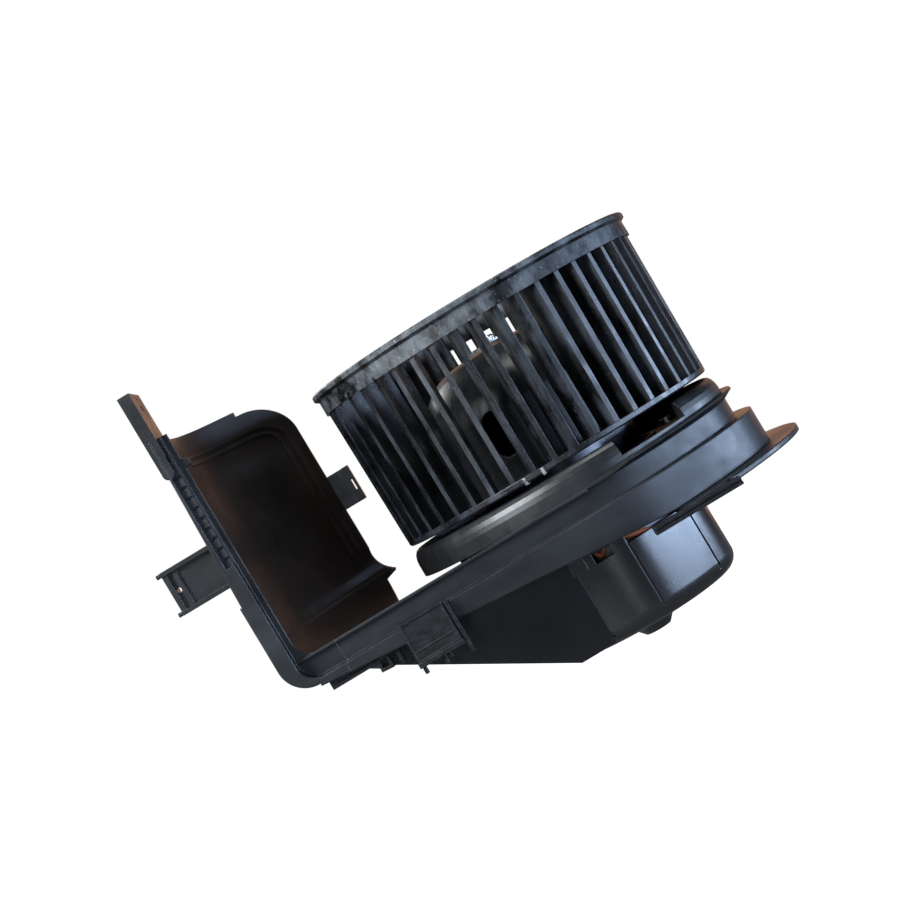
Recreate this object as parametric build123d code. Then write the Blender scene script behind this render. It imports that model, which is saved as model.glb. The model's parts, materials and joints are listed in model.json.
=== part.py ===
"""Vehicle heater blower: squirrel-cage wheel, motor, carrier and lower casing half.

Millimetres. The wheel's axis is Z, the origin is on that axis in the middle of the round
mounting flange plate, and -Y is the casing's open seam side. The outlet is towards -X.
"""
from build123d import *
import os
from math import acos, atan2, cos, degrees, radians, sin, sqrt

# ---- wheel ----
BLADES = 47
BLADE_IN_R = 63.0
BLADE_TOP_R = 74.5
BLADE_BOTTOM_R = 73.6
BLADE_LEAN = 3.4            # degrees that the blade's outer edge leads its inner edge
BLADE_BOW = 0.9             # how far the blade's middle bulges back
BLADE_T_IN = 1.3
BLADE_T_OUT = 2.5
BLADE_START = -86.2          # direction of the first blade, degrees from +X
PLATE_Z0 = 41.0             # back plate of the wheel
PLATE_Z1 = 43.6
BAND_Z0 = 107.5             # top ring: band, then the wider lip
BAND_R = 75.6
BAND_IN_R = 73.4
LIP_Z0 = 115.2
LIP_R = 77.4
WHEEL_TOP = 117.5
HUB_R = 44.0
HUB_WALL = 2.0
HUB_SIDE_TOP = 72.0
HUB_TOP = 97.0
HUB_FLAT_R = 14.0
VENTS = 3
VENT_W = 13.0
VENT_H = 21.0
VENT_Z = 63.0
VENT_ANGLE = -112.7

# ---- casing ----
SKIRT_R = 82.0              # outer wall of the lower step, also the front wall's distance
STEP = 7.4                  # how far the upper step stands inside the lower one
WALL = 2.4
SKIRT_Z0 = 2.2
STEP_Z = 18.0
FLOOR_Z = STEP_Z - WALL     # underside of the floor
BAR_Z = 27.0
BAR_LIP_Z0 = 26.2           # thin lip along the top of the front bar
BAR_LIP_Z1 = 27.6
BAR_LIP = 2.0               # how far that lip stands forward
BAR_END_X = 0.0             # the carrier's seat lip carries on from here
SLOPE_X = 26.7              # the skirt's lower edge rises to the left from here
SLOPE = 0.082
FLOOR_HOLE_R = 43.2

# ---- outlet ----
SCOOP_X = -136.4            # outer face of the outlet's wall at its front
SCOOP_TURN_Y = -45.0        # the wall starts to curve here
SCOOP_R = 82.4              # outer plan radius of that curve
SCOOP_TURN = 35.0           # degrees that the wall turns
SCOOP_END_X = -92.0
FLARE_X = -86.5             # tip of the flare at the foot of the wall's free edge
FLARE_Z = 35.0
SCOOP_TOP = 131.0
SCOOP_STEP = 2.2            # lower top edge beyond x = SCOOP_STEP_X
SCOOP_STEP_X = -111.0
SCOOP_CORNER_R = 16.5
COVE_R = 18.0               # inside fillet from floor to wall
COVE_PROUD = 0.9            # the fillet stands this far out from the wall
RIB_INSETS = ((3.5, 7.7), (7.0, 10.8))      # from the right edge, from the top edge
RIB_W = 1.1

# ---- seam frame at the outlet's front ----
FRAME_X = -139.9            # its outer edge below the notch
NOTCH_Z = 57.0
FRAME_TOP_X = -137.5        # its outer edge at the ear's foot
STRIP_X = -136.5            # inner edge of the outer strip, beside the foam
FRAME_IN_X = -132.9         # inner edge of the lower, plain part
LEDGE_X = -133.3
LEDGE_IN_X = -130.3
FRAME_R = 12.0              # outer corner
FRAME_IN_R = 8.0            # inside corner
SEAL_Z0 = 73.0              # lower end of the foam strip

# ---- flange, carrier and cup ----
FLANGE_R = 94.8
FLANGE_IN_R = 77.5
FLANGE_FROM = -57.0         # the rim's ends, degrees from +X
FLANGE_TO = 100.0
RAIL_X0 = 14.0              # locking rail in front of the flange
RAIL_X1 = 53.0
RAIL_HALF = 1.6
COLLAR_R = 74.7
COLLAR_TOP = 38.5
PLATE_T = 1.8
SEAT_LIP_R = 79.5
SEAT_LIP_Z = 30.2
SEAT_LIP_RISE = 1.2         # how much the lip rises from the middle to its right end
SLEEVE_R = 42.2
SLEEVE_IN_R = 40.0
SLEEVE_TOP = 30.0
WINDOW_FROM = -75.0         # window in the collar, degrees from +X
WINDOW_TO = -47.5
CUP_R = 44.5
CUP_WALL = 2.2
CUP_LOW_TOP = -2.0          # the cup's rim at the front right
CUP_BOTTOM = -36.5
CUP_EDGE_R = 7.0
BOSS_BOTTOM = -44.0
CUP_LOW_FROM = -83.5        # the lower part of the rim, degrees from +X
CUP_LOW_TO = 70.0
CUP_GROOVES = (-83.5, -40.0)
NOTCH_X0 = -10.5            # U-shaped notch in the cup's rim
NOTCH_X1 = -2.0
NOTCH_FLOOR = -2.9
RIM_LEAD_R = 38.6           # the lead in the notch lies on this radius
RIM_LEAD_D = 2.4
RIM_LEAD_ROUTE = (          # direction in degrees from +X, height
    (-104.6, 12.0),
    (-104.2, 3.2),
    (-99.6, -1.3),
    (-95.2, 2.4),
    (-90.0, 4.4),
    (-83.5, 1.4),
    (-74.0, -0.8),
    (-63.0, -3.6),
    (-58.0, -8.0),
)
CARRIER_SCREWS = 3
CARRIER_SCREW_R = 60.0
CARRIER_SCREW_ANGLE = 30.0

# ---- motor ----
CAN_R = 36.0
CAN_WALL = 1.6
CAN_Z0 = -33.0
CAN_TOP = 50.0
LOW_BUSH_R = 6.4
POCKET_R = 8.0              # the can's lower bearing pocket
POCKET_DEEP = 3.5
PAD_R = 36.5
SHAFT_R = 4.0
SHAFT_Z0 = -35.5
SHAFT_TOP = 102.0
RUNNING = 0.03              # radial clearance of the shaft in its bearings
ARMATURE_R = 28.5
ARMATURE_Z0 = -10.0
ARMATURE_Z1 = 26.0
SLOTS = 12
COMMUTATOR_R = 11.0
COMMUTATOR_Z0 = 36.5
COMMUTATOR_Z1 = 48.0
CARD_Z0 = 35.0
CARD_T = 2.0
BRUSH = 6.4
BRUSH_LENGTH = 13.0
BRUSH_GAP = 0.1
BOX_WALL = 0.6

# ---- cooling duct: x and y from, to ----
AIR_HOLE = (-103.5, -81.0, -36.0, -12.0)
DUCT_Y0 = -40.0
DUCT_Y1 = -8.0
DUCT_X0 = -106.0
DUCT_KNEE_X = -36.2         # the duct's floor is level from here to the cup
DUCT_X1 = -18.0
DUCT_Z0 = 5.9
DUCT_SLOPE = 0.586          # the duct's floor falls by this much per millimetre
DUCT_WALL = 2.2

# ---- ear, bracket and tab ----
EAR_TOP = 151.5
EAR_BOTTOM = 114.0
EAR_X0 = -139.1
EAR_X1 = -134.2
EAR_Y1 = -56.0
EAR_T = 2.5
EAR_HOLES = ((-68.0, 149.3, 0.9), (-68.0, 144.8, 1.75))     # y, z, radius
BRACKET_Z0 = 66.0
BRACKET_Z1 = 85.0
BRACKET_X = -162.0
BRACKET_HOLE_R = 1.0
TAB_X = -81.0
TAB_Z0 = 69.0
TAB_Z1 = 86.0
TAB_Y = 43.0

PARTS = {}


def box(x0, x1, y0, y1, z0, z1):
    """A block between two corners."""
    size = (x1 - x0, y1 - y0, z1 - z0)
    return Pos(x0, y0, z0) * Box(*size, align=(Align.MIN, Align.MIN, Align.MIN))


def rod(radius, z0, z1, x=0.0, y=0.0):
    """An upright cylinder."""
    return Pos(x, y, z0) * Cylinder(radius, z1 - z0, align=(Align.CENTER, Align.CENTER, Align.MIN))


def tube(outer, inner, z0, z1):
    """An upright tube on the axis."""
    return rod(outer, z0, z1) - rod(inner, z0 - 1, z1 + 1) if inner else rod(outer, z0, z1)


def turned(points):
    """A solid turned about Z from (radius, height) points."""
    outline = Polyline(*[(r, 0, z) for r, z in points], close=True)
    return revolve(make_face(outline), Axis.Z)


def slab(points, y0, y1):
    """A solid with an (x, z) outline, from y0 to y1."""
    face = make_face(Polyline(*[(x, y0, z) for x, z in points], close=True))
    return extrude(face, amount=y1 - y0, dir=(0, 1, 0))


def sector(outer, inner, z0, z1, start, end):
    """Part of an upright tube between two angles in degrees."""
    face = make_face(
        Curve()
        + [
            CenterArc((0, 0), outer, start, end - start),
            CenterArc((0, 0), inner, start, end - start),
            Line(polar(inner, start), polar(outer, start)),
            Line(polar(inner, end), polar(outer, end)),
        ]
    )
    return Pos(0, 0, z0) * extrude(face, amount=z1 - z0, dir=(0, 0, 1))


def polar(radius, angle):
    """A point at a radius and an angle in degrees."""
    return (radius * cos(radians(angle)), radius * sin(radians(angle)))


def ring_of(solid, count, start=0.0):
    """Equal copies of a solid round the axis."""
    return [Rot(0, 0, start + k * 360 / count) * solid for k in range(count)]


def keep(name, *solids):
    """Name a node and give it its solids."""
    PARTS[name] = Compound(children=[s for part in solids for s in part.solids()])


# ---------------------------------------------------------------- wheel


def blade():
    """One forward-curved blade, thicker at its outer edge and cut to the cage's cone."""
    far_r = BLADE_TOP_R + 1.5
    root = polar(BLADE_IN_R, -BLADE_LEAN / 2)
    tip = polar(far_r, BLADE_LEAN / 2)
    half_in = BLADE_T_IN / 2
    half_out = BLADE_T_OUT / 2
    middle = ((root[0] + tip[0]) / 2, (root[1] + tip[1]) / 2 - BLADE_BOW)
    half_mid = (half_in + half_out) / 2
    back = ThreePointArc(
        (root[0], root[1] - half_in), (middle[0], middle[1] - half_mid), (tip[0], tip[1] - half_out)
    )
    front = ThreePointArc(
        (root[0], root[1] + half_in), (middle[0], middle[1] + half_mid), (tip[0], tip[1] + half_out)
    )
    face = make_face(Curve() + [back, front, Line(back @ 0, front @ 0), Line(back @ 1, front @ 1)])
    plate = Pos(0, 0, PLATE_Z1) * extrude(face, amount=LIP_Z0 - PLATE_Z1, dir=(0, 0, 1))
    cage = turned(
        [
            (BLADE_IN_R - 5, PLATE_Z1 - 1),
            (BLADE_BOTTOM_R, PLATE_Z1 - 1),
            (BLADE_TOP_R, BAND_Z0),
            (BAND_IN_R, BAND_Z0),
            (BAND_IN_R, LIP_Z0 + 1),
            (BLADE_IN_R - 5, LIP_Z0 + 1),
        ]
    )
    return plate & cage


def wheel_blades():
    """All blades of the cage, as separate solids."""
    keep("wheel_blades", *ring_of(blade(), BLADES, BLADE_START))


def wheel_top_ring():
    """The band round the blades' upper ends, with its wider lip."""
    ring = turned(
        [
            (BAND_IN_R, BAND_Z0),
            (BAND_R, BAND_Z0),
            (BAND_R, LIP_Z0 - 1.2),
            (LIP_R, LIP_Z0),
            (LIP_R, WHEEL_TOP - 0.6),
            (LIP_R - 0.6, WHEEL_TOP),
            (BAND_IN_R + 0.6, WHEEL_TOP),
            (BAND_IN_R, WHEEL_TOP - 0.6),
        ]
    )
    keep("wheel_top_ring", ring)


def wheel_back_plate():
    """The flat ring under the blades, out from the hub dome."""
    plate = turned(
        [
            (HUB_R, PLATE_Z0),
            (BLADE_BOTTOM_R - 0.6, PLATE_Z0),
            (BLADE_BOTTOM_R, PLATE_Z0 + 0.6),
            (BLADE_BOTTOM_R, PLATE_Z1),
            (HUB_R, PLATE_Z1),
        ]
    )
    keep("wheel_back_plate", plate)


def dome(radius, flat_r, top):
    """A solid bell shape of one skin of the hub."""
    side = HUB_SIDE_TOP
    bulge = sqrt(0.5)
    mid = (flat_r + (radius - flat_r) * bulge, 0, side + (top - side) * bulge)
    outline = Curve() + [
        Line((0, 0, PLATE_Z0), (radius, 0, PLATE_Z0)),
        Line((radius, 0, PLATE_Z0), (radius, 0, side)),
        ThreePointArc((radius, 0, side), mid, (flat_r, 0, top)),
        Line((flat_r, 0, top), (0, 0, top)),
        Line((0, 0, top), (0, 0, PLATE_Z0)),
    ]
    return revolve(make_face(outline), Axis.Z)


def vent(angle):
    """An oval hole cutter through the bell's side."""
    oval = Plane((30, 0, VENT_Z), x_dir=(0, 1, 0), z_dir=(1, 0, 0)) * Ellipse(VENT_W / 2, VENT_H / 2)
    return Rot(0, 0, angle) * extrude(oval, amount=30, dir=(1, 0, 0))


def wheel_hub():
    """The bell over the motor, with oval vents, a dimple and a boss for the insert."""
    bell = dome(HUB_R, HUB_FLAT_R, HUB_TOP)
    bell -= dome(HUB_R - HUB_WALL, HUB_FLAT_R - 1, HUB_TOP - HUB_WALL) & rod(60, PLATE_Z0 - 1, HUB_TOP)
    bell += tube(13.0, 9.0, 79.0, HUB_TOP - 1)
    bell -= rod(9.0, 60, HUB_TOP + 1)
    for k in range(VENTS):
        bell -= vent(VENT_ANGLE + k * 360 / VENTS)
    bell -= Pos(4, -20, HUB_TOP) * Cylinder(2.0, 14)
    keep("wheel_hub", bell)


def hub_insert():
    """The moulded-in core that grips the shaft."""
    core = tube(9.0, SHAFT_R, 77.0, HUB_TOP + 1.5)
    keep("hub_insert", core)


def shaft_clip():
    """The push-on spring clip above the insert."""
    clip = tube(8.0, SHAFT_R, HUB_TOP + 1.5, HUB_TOP + 2.3)
    for angle in (0, 90, 180, 270):
        clip -= Rot(0, 0, angle) * box(4.6, 8.5, -0.9, 0.9, HUB_TOP, HUB_TOP + 3)
    keep("shaft_clip", clip)


def balance_clips():
    """Small spring-steel clips pushed over the back plate's rim."""
    rim = BLADE_BOTTOM_R
    channel = turned(
        [
            (rim - 4.5, PLATE_Z0 - 0.5),
            (rim + 0.5, PLATE_Z0 - 0.5),
            (rim + 0.5, PLATE_Z1),
            (rim, PLATE_Z1),
            (rim, PLATE_Z0),
            (rim - 4.5, PLATE_Z0),
        ]
    )
    keep("balance_clips", *[channel & sector(90, 50, 30, 60, a, a + 1.1) for a in (-105.2, -98.8)])


# ---------------------------------------------------------------- casing


def tangent_point(x, y, radius):
    """Where a line from (x, y) touches the circle on its far side from -X."""
    angle = degrees(atan2(y, x)) - degrees(acos(radius / sqrt(x * x + y * y)))
    return polar(radius, angle)


def turn_centre():
    """Centre of the outlet wall's curve in plan."""
    return (SCOOP_X + SCOOP_R, SCOOP_TURN_Y)


def on_turn(inset, angle):
    """A point on the curve moved inwards by inset, at an angle from its start."""
    x, y = turn_centre()
    dx, dy = polar(SCOOP_R - inset, 180 - angle)
    return (x + dx, y + dy)


def past_turn(inset, x_end):
    """The point of the wall's straight end at x = x_end, moved inwards by inset."""
    x, y = on_turn(inset, SCOOP_TURN)
    run = (x_end - x) / sin(radians(SCOOP_TURN))
    return (x_end, y + run * cos(radians(SCOOP_TURN)))


def plan(inset):
    """The casing's outline in plan: a ring that leads into the outlet, moved inwards by inset."""
    radius = SKIRT_R - inset
    left = SCOOP_X + inset
    corner = past_turn(inset, FLARE_X - 2)
    touch = tangent_point(*corner, radius)
    outlet = make_face(
        Curve()
        + [
            Polyline(touch, (0, 0), (0, -radius), (left, -radius), (left, SCOOP_TURN_Y)),
            CenterArc(turn_centre(), SCOOP_R - inset, 180, -SCOOP_TURN),
            Polyline(on_turn(inset, SCOOP_TURN), corner, touch),
        ]
    )
    return outlet + Circle(radius)


def prism(inset, z0, z1):
    """The plan outline as a solid between two heights."""
    return Pos(0, 0, z0) * extrude(plan(inset), amount=z1 - z0, dir=(0, 0, 1))


def corner_cutter():
    """Takes the sharp lower corner off the seam frame's left end."""
    x = FRAME_X
    z = skirt_edge(FRAME_X)
    block = box(x - 5, x + FRAME_R, -100, 100, z - 20, z + FRAME_R)
    barrel = Pos(x + FRAME_R, 0, z + FRAME_R) * Rot(90, 0, 0) * Cylinder(FRAME_R, 220)
    return block - barrel


def skirt_edge(x):
    """Height of the skirt's lower edge, which rises towards the outlet."""
    return SKIRT_Z0 + max(0.0, (SLOPE_X - x) * SLOPE)


def below_skirt():
    """Everything under the skirt's sloping lower edge."""
    far = FRAME_X - 20
    return slab([(SLOPE_X, SKIRT_Z0), (SLOPE_X, -60), (far, -60), (far, skirt_edge(far))], -130, 130)


def cove_plan():
    """How far the foot of the outlet's fillet reaches in from the wall's outer face."""
    return WALL + COVE_PROUD + COVE_R


def scroll_base():
    """Floor, skirt and upper step of the casing half, with the carrier's screw bosses."""
    skirt = prism(0, SKIRT_Z0, STEP_Z) - prism(WALL, SKIRT_Z0 - 1, FLOOR_Z)
    upper = prism(STEP, STEP_Z, BAR_Z) - prism(STEP + WALL, STEP_Z - 1, BAR_Z + 1)
    behind_bar = box(SCOOP_X - 1, SCOOP_END_X, -SKIRT_R + STEP + WALL, 90, STEP_Z, BAR_Z + 1)
    behind_scoop = box(SCOOP_X - 1, -60, -20, 90, STEP_Z, BAR_Z + 1)
    base = skirt + (upper - behind_bar - behind_scoop)
    base -= below_skirt()
    for x, y in screw_places():
        base += rod(4.0, FLOOR_Z, BAR_Z, x, y)
    for x, y in screw_places():
        base -= rod(1.6, STEP_Z, BAR_Z + 1, x, y)
    base -= rod(FLOOR_HOLE_R, -5, STEP_Z + 1)
    base += bar_lip(SCOOP_X + cove_plan(), BAR_END_X)
    base -= scoop_envelope()
    base -= box(*AIR_HOLE, 0, STEP_Z + 1)
    keep("scroll_base", biggest(base))


def bar_lip(x0, x1):
    """The thin lip along the top of the front bar."""
    face_y = -SKIRT_R + STEP
    lip = box(x0, x1, face_y - BAR_LIP, face_y + 0.6, BAR_LIP_Z0, BAR_Z)
    return lip + box(x0, x1, face_y - BAR_LIP, face_y - 0.4, BAR_Z, BAR_LIP_Z1)


def scoop_envelope():
    """The space of the outlet wall's fillet, which the floor stops at."""
    reach = cove_plan()
    low = -5
    high = BAR_LIP_Z1 + 1
    side = box(FRAME_X - 1, SCOOP_X + reach, -SKIRT_R - 3, SCOOP_TURN_Y, low, high)
    x, y = turn_centre()
    turn = Pos(x, y, 0) * sector(SCOOP_R + 9, SCOOP_R - reach, low, high, 180 - SCOOP_TURN, 180)
    end = straight_end(box(-9, reach, 0, 60, low, high))
    return side + turn + (end & box(-150, SCOOP_END_X, -60, 90, low, high))


def straight_end(solid):
    """A solid moved from (across, along) axes to the straight end of the outlet wall."""
    x, y = on_turn(0, SCOOP_TURN)
    return Pos(x, y, 0) * Rot(0, 0, -SCOOP_TURN) * solid


def cove_profile():
    """The outlet wall's section: wall, fillet and floor strip, in (x, z) from the outer face."""
    centre_x = cove_plan()
    centre_z = STEP_Z + COVE_R
    slant = sqrt(0.5)
    outer = COVE_R + WALL
    foot = WALL + COVE_PROUD
    return [
        Polyline((foot, centre_z), (WALL, centre_z + COVE_PROUD), (WALL, SCOOP_TOP), (0, SCOOP_TOP)),
        Polyline((0, SCOOP_TOP), (0, centre_z), (COVE_PROUD, centre_z)),
        ThreePointArc(
            (COVE_PROUD, centre_z), (centre_x - outer * slant, centre_z - outer * slant), (centre_x, FLOOR_Z)
        ),
        Line((centre_x, FLOOR_Z), (centre_x, STEP_Z)),
        ThreePointArc(
            (centre_x, STEP_Z), (centre_x - COVE_R * slant, centre_z - COVE_R * slant), (foot, centre_z)
        ),
    ]


def curved_wall():
    """The outlet's curved wall, with the fillet at its foot."""
    profile = make_face(Curve() + cove_profile())
    upright = Plane((SCOOP_X, SCOOP_TURN_Y, 0), x_dir=(1, 0, 0), z_dir=(0, -1, 0)) * profile
    side = extrude(upright, amount=SKIRT_R + SCOOP_TURN_Y, dir=(0, -1, 0))
    turn = revolve(upright, Axis((*turn_centre(), 0), (0, 0, 1)), -SCOOP_TURN)
    flat = Plane((0, 0, 0), x_dir=(1, 0, 0), z_dir=(0, -1, 0)) * profile
    end = straight_end(extrude(flat, amount=90, dir=(0, 1, 0)))
    return side + turn + end


def scoop_side_view():
    """The outlet wall's outline from the front, with its stepped top and round corner."""
    low_top = SCOOP_TOP - SCOOP_STEP
    r = SCOOP_CORNER_R
    centre = (SCOOP_END_X - r, low_top - r)
    slant = sqrt(0.5)
    lines = Curve() + [
        Line((SCOOP_END_X, low_top - r), (SCOOP_END_X, FLARE_Z + 14)),
        ThreePointArc(
            (SCOOP_END_X, FLARE_Z + 14), (SCOOP_END_X + 1.2, FLARE_Z + 4.6), (FLARE_X, FLARE_Z)
        ),
        Polyline(
            (FLARE_X, FLARE_Z),
            (FLARE_X - 0.4, FLARE_Z - 1),
            (SCOOP_END_X, FLARE_Z - 2.4),
            (SCOOP_END_X, 0),
            (FRAME_X - 1, 0),
            (FRAME_X - 1, SCOOP_TOP),
            (SCOOP_STEP_X, SCOOP_TOP),
            (SCOOP_STEP_X, low_top),
            (centre[0], low_top),
        ),
        ThreePointArc(
            (centre[0], low_top), (centre[0] + r * slant, centre[1] + r * slant), (SCOOP_END_X, centre[1])
        ),
    ]
    face = Plane((0, 100, 0), x_dir=(1, 0, 0), z_dir=(0, -1, 0)) * make_face(lines)
    return extrude(face, amount=200, dir=(0, -1, 0))


def ridge():
    """A pair of low ribs on the wall's inner face that follow its free edge."""
    depth = 0.4
    x, y = turn_centre()
    reach = SCOOP_R - WALL
    skin = Pos(x, y, 0) * sector(reach + 0.3, reach - depth, 60, SCOOP_TOP, 180 - SCOOP_TURN, 170)
    skin += straight_end(box(WALL - 0.3, WALL + depth, 0, 60, 50, SCOOP_TOP))
    return [skin & (rounded_panel(dx, dz) - rounded_panel(dx + RIB_W, dz + RIB_W)) for dx, dz in RIB_INSETS]


def rounded_panel(dx, dz):
    """A block through the wall whose top right corner follows the wall's, moved in by dx and dz."""
    x1 = SCOOP_END_X - dx
    z1 = SCOOP_TOP - SCOOP_STEP - dz
    block = box(FRAME_X - 30, x1, -120, 120, -20, z1)
    corner = block.edges().filter_by(Axis.Y).sort_by(lambda e: e.center().X + e.center().Z)[-1]
    return fillet(corner, SCOOP_CORNER_R - dx)


def frame_plate(x_in, z_in, y0, y1):
    """One step of the seam frame's corner: an L with a rounded inside corner."""
    far = SCOOP_X + cove_plan()
    outline = [
        (far, 0),
        (FRAME_X, 0),
        (FRAME_X, NOTCH_Z),
        (FRAME_X + 0.8, NOTCH_Z),
        (FRAME_TOP_X, EAR_BOTTOM),
        (FRAME_TOP_X, SCOOP_TOP),
        (far, SCOOP_TOP),
    ]
    plate = slab(outline, y0, y1)
    window = box(x_in, far + 60, y0 - 1, y1 + 1, z_in, SCOOP_TOP + 50)
    corner = window.edges().filter_by(Axis.Y).sort_by(lambda e: e.center().X + e.center().Z)[0]
    return plate - fillet(corner, FRAME_IN_R)


def post():
    """The seam frame's upright and its corner at the outlet's open front, in two steps."""
    face_y = -SKIRT_R
    ledge_y = face_y + STEP
    back_y = ledge_y + WALL
    outer = frame_plate(FRAME_IN_X, STEP_Z, face_y, back_y)
    outer -= box(STRIP_X, SCOOP_X + 60, face_y - 1, ledge_y - 2, SEAL_Z0, SCOOP_TOP + 1)
    below_floor = box(FRAME_IN_X + 3, 0, face_y + WALL, back_y + 1, 0, FLOOR_Z)
    outer -= below_floor
    inner = frame_plate(LEDGE_IN_X, BAR_Z, ledge_y, back_y) - below_floor
    hook = slab([(LEDGE_IN_X - 1, 120), (-127.8, 118.6), (-127.5, 116), (LEDGE_IN_X - 1, 115)], ledge_y, back_y)
    lip = bar_lip(FRAME_IN_X, SCOOP_X + cove_plan())
    return outer + inner + hook + lip


def ear():
    """The upright fixing ear above the outlet's corner, with two holes along X."""
    radius = (EAR_X1 - EAR_X0) / 2
    face_y = -SKIRT_R
    front = box(EAR_X0, EAR_X1, face_y, face_y + WALL, EAR_BOTTOM + radius, EAR_TOP)
    foot = Pos(EAR_X0 + radius, face_y + WALL / 2, EAR_BOTTOM + radius) * Rot(90, 0, 0) * Cylinder(radius, WALL)
    side = box(SCOOP_X, SCOOP_X + EAR_T, face_y, EAR_Y1, SCOOP_TOP - 8, EAR_TOP)
    piece = front + foot + side
    for y, z, hole_r in EAR_HOLES:
        piece -= Pos(SCOOP_X, y, z) * Rot(0, 90, 0) * Cylinder(hole_r, 20)
    return piece


def side_tab():
    """The slotted tab on the outlet wall's free edge."""
    tab = box(SCOOP_END_X - 3, TAB_X, TAB_Y - 3.0, TAB_Y, TAB_Z0, TAB_Z1)
    strip = box(TAB_X - 3.2, TAB_X, TAB_Y - 9.0, TAB_Y, TAB_Z0, TAB_Z1)
    slot = box(TAB_X - 2.1, TAB_X - 1.1, TAB_Y - 20, TAB_Y + 5, 74.5, 79.5)
    return tab + strip - slot


def side_bracket():
    """The U-shaped bracket outside the front post, with its pins and small hole."""
    x0 = BRACKET_X
    x1 = FRAME_TOP_X
    y0 = -SKIRT_R + 1.0
    z0 = BRACKET_Z0
    z1 = BRACKET_Z1
    web = box(x0 + 2, x1, y0 + 2.5, y0 + 4.7, z0, z1)
    lower = box(x0 + 2, x1, y0, y0 + 4.7, z0, z0 + 1.8)
    upper = box(x0 + 2, x1, y0, y0 + 4.7, z1 - 1.8, z1)
    rail = box(x0 + 2, x0 + 4.2, y0 + 0.8, y0 + 12, z0, z1)
    stop = box(x0 + 6.4, x0 + 8.0, y0 + 1.2, y0 + 4.7, z0, z1)
    piece = web + lower + upper + rail + stop
    for z in (z0 + 1.0, z1 - 1.0):
        piece += Pos(x0 + 1.5, y0 + 2.0, z) * Rot(0, 90, 0) * Cylinder(0.9, 3.0)
    piece -= Pos(x0 + 5.3, y0 + 3, (z0 + z1) / 2) * Rot(90, 0, 0) * Cylinder(BRACKET_HOLE_R, 20)
    return piece


def biggest(shape):
    """The largest solid of a shape, without slivers left by cuts."""
    return max(shape.solids(), key=lambda s: s.volume)


def outlet():
    """The outlet's wall, and the parts moulded on it, each as its own solid."""
    wall = curved_wall() & scoop_side_view()
    wall -= box(STRIP_X, LEDGE_X, -SKIRT_R - 1, -SKIRT_R + STEP - 2, SEAL_Z0, SCOOP_TOP + 1)
    for rib in ridge():
        wall += rib
    wall -= corner_cutter()
    wall -= below_skirt()
    frame = biggest(post() - corner_cutter() - below_skirt())
    wall -= frame
    fixing = ear() - wall - frame
    keep("outlet_scoop", biggest(wall))
    keep("seam_post", frame)
    keep("fixing_ear", biggest(fixing))
    keep("side_bracket", biggest(side_bracket() - frame - wall))
    keep("side_tab", biggest(side_tab() - wall))


def post_seal():
    """The ribbed foam strip in the post's groove."""
    y0 = -SKIRT_R + WALL
    y1 = -SKIRT_R + STEP - 2
    strip = box(STRIP_X, LEDGE_X, y0, y1, SEAL_Z0, EAR_BOTTOM + 6)
    for k in range(10):
        z = SEAL_Z0 + 3 + k * 4.6
        strip -= box(STRIP_X + 0.5, LEDGE_X + 1, y0 - 1, y0 + 1.2, z, z + 1.2)
    keep("post_seal", strip)


def front_clip():
    """The box-shaped clip on the front bar: framed face, foot, fin and pins."""
    x0 = -90.8
    x1 = -71.0
    y0 = -SKIRT_R - 4.5
    y1 = -SKIRT_R
    z0 = 1.6
    z1 = 19.8
    body = box(x0, x1, y0, y1, z0, z1)
    body = fillet(body.edges().filter_by(Axis.Z).sort_by(Axis.Y)[:2], 0.7)
    body -= box(x0 + 1.1, x1 - 1.1, y0 - 1, y0 + 0.5, z0 + 6, z1 - 1.0)
    body -= slab([(x0 + 1.1, z0 + 2.2), (x0 + 1.1, z0 + 5.4), (x1 - 1.1, z0 + 5.4), (x1 - 1.1, z0 + 2.2)], y0 - 1, y0 + 0.3)
    body -= box(x0 + 1.6, x1 - 1.6, y0 + 1.8, y1 + 1, z0 - 1, z1 - 1.6)
    fin = box(x1 - 0.4, x1 + 0.8, y0 + 1.4, y1, z0, z1 - 1) + box(x1 + 0.6, x1 + 2.0, y0 - 0.3, y1, -3.7, z1 - 1)
    foot = box(x0 - 0.4, x1, y0 - 0.6, y1, z0 - 0.6, z0 + 1.3)
    piece = body + fin + foot
    for x, low in ((x0 + 1.2, -1.9), (x0 + 10.2, -2.6), (x0 + 12.4, -1.2)):
        piece += rod(0.9, low, z0, x, y0 + 2.0)
    keep("front_clip", piece)


def lower_hooks():
    """The small cable rail and hooks below the base's left end."""
    y0 = -SKIRT_R + WALL + 0.1
    rail = box(-125, -107, y0, y0 + 3, 10.9, 14.4)
    rail -= box(-122.4, -108, y0 - 1, y0 + 1, 12.2, 13.2)
    block = slab([(-109, 12.6), (-108.6, 10.9), (-105.2, 8.8), (-105.2, 7.0), (-99.8, 6.6), (-99.8, 12.6)], y0, y0 + 5)
    block -= box(-104, -101, y0 - 1, y0 + 3, 8.2, 11.4)
    rear = box(-101, -94.8, y0 + 3.5, y0 + 5, 6.6, 12.6)
    rib = box(-96.6, -95.2, y0, y0 + 5, 5.7, 12.6)
    piece = rail + block + rear + rib
    for x in (-118.0, -107.0, -96.6):
        piece += box(x, x + 1.6, y0 + 1.5, y0 + 5, 12, FLOOR_Z)
    piece += box(-125, -94.8, y0 + 1.5, y0 + 3, 12.5, 14.4)
    keep("lower_hooks", biggest(piece))


# ---------------------------------------------------------------- flange, carrier and cup


def screw_places():
    """The carrier screws' centres."""
    return [
        polar(CARRIER_SCREW_R, CARRIER_SCREW_ANGLE + k * 360 / CARRIER_SCREWS)
        for k in range(CARRIER_SCREWS)
    ]


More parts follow.
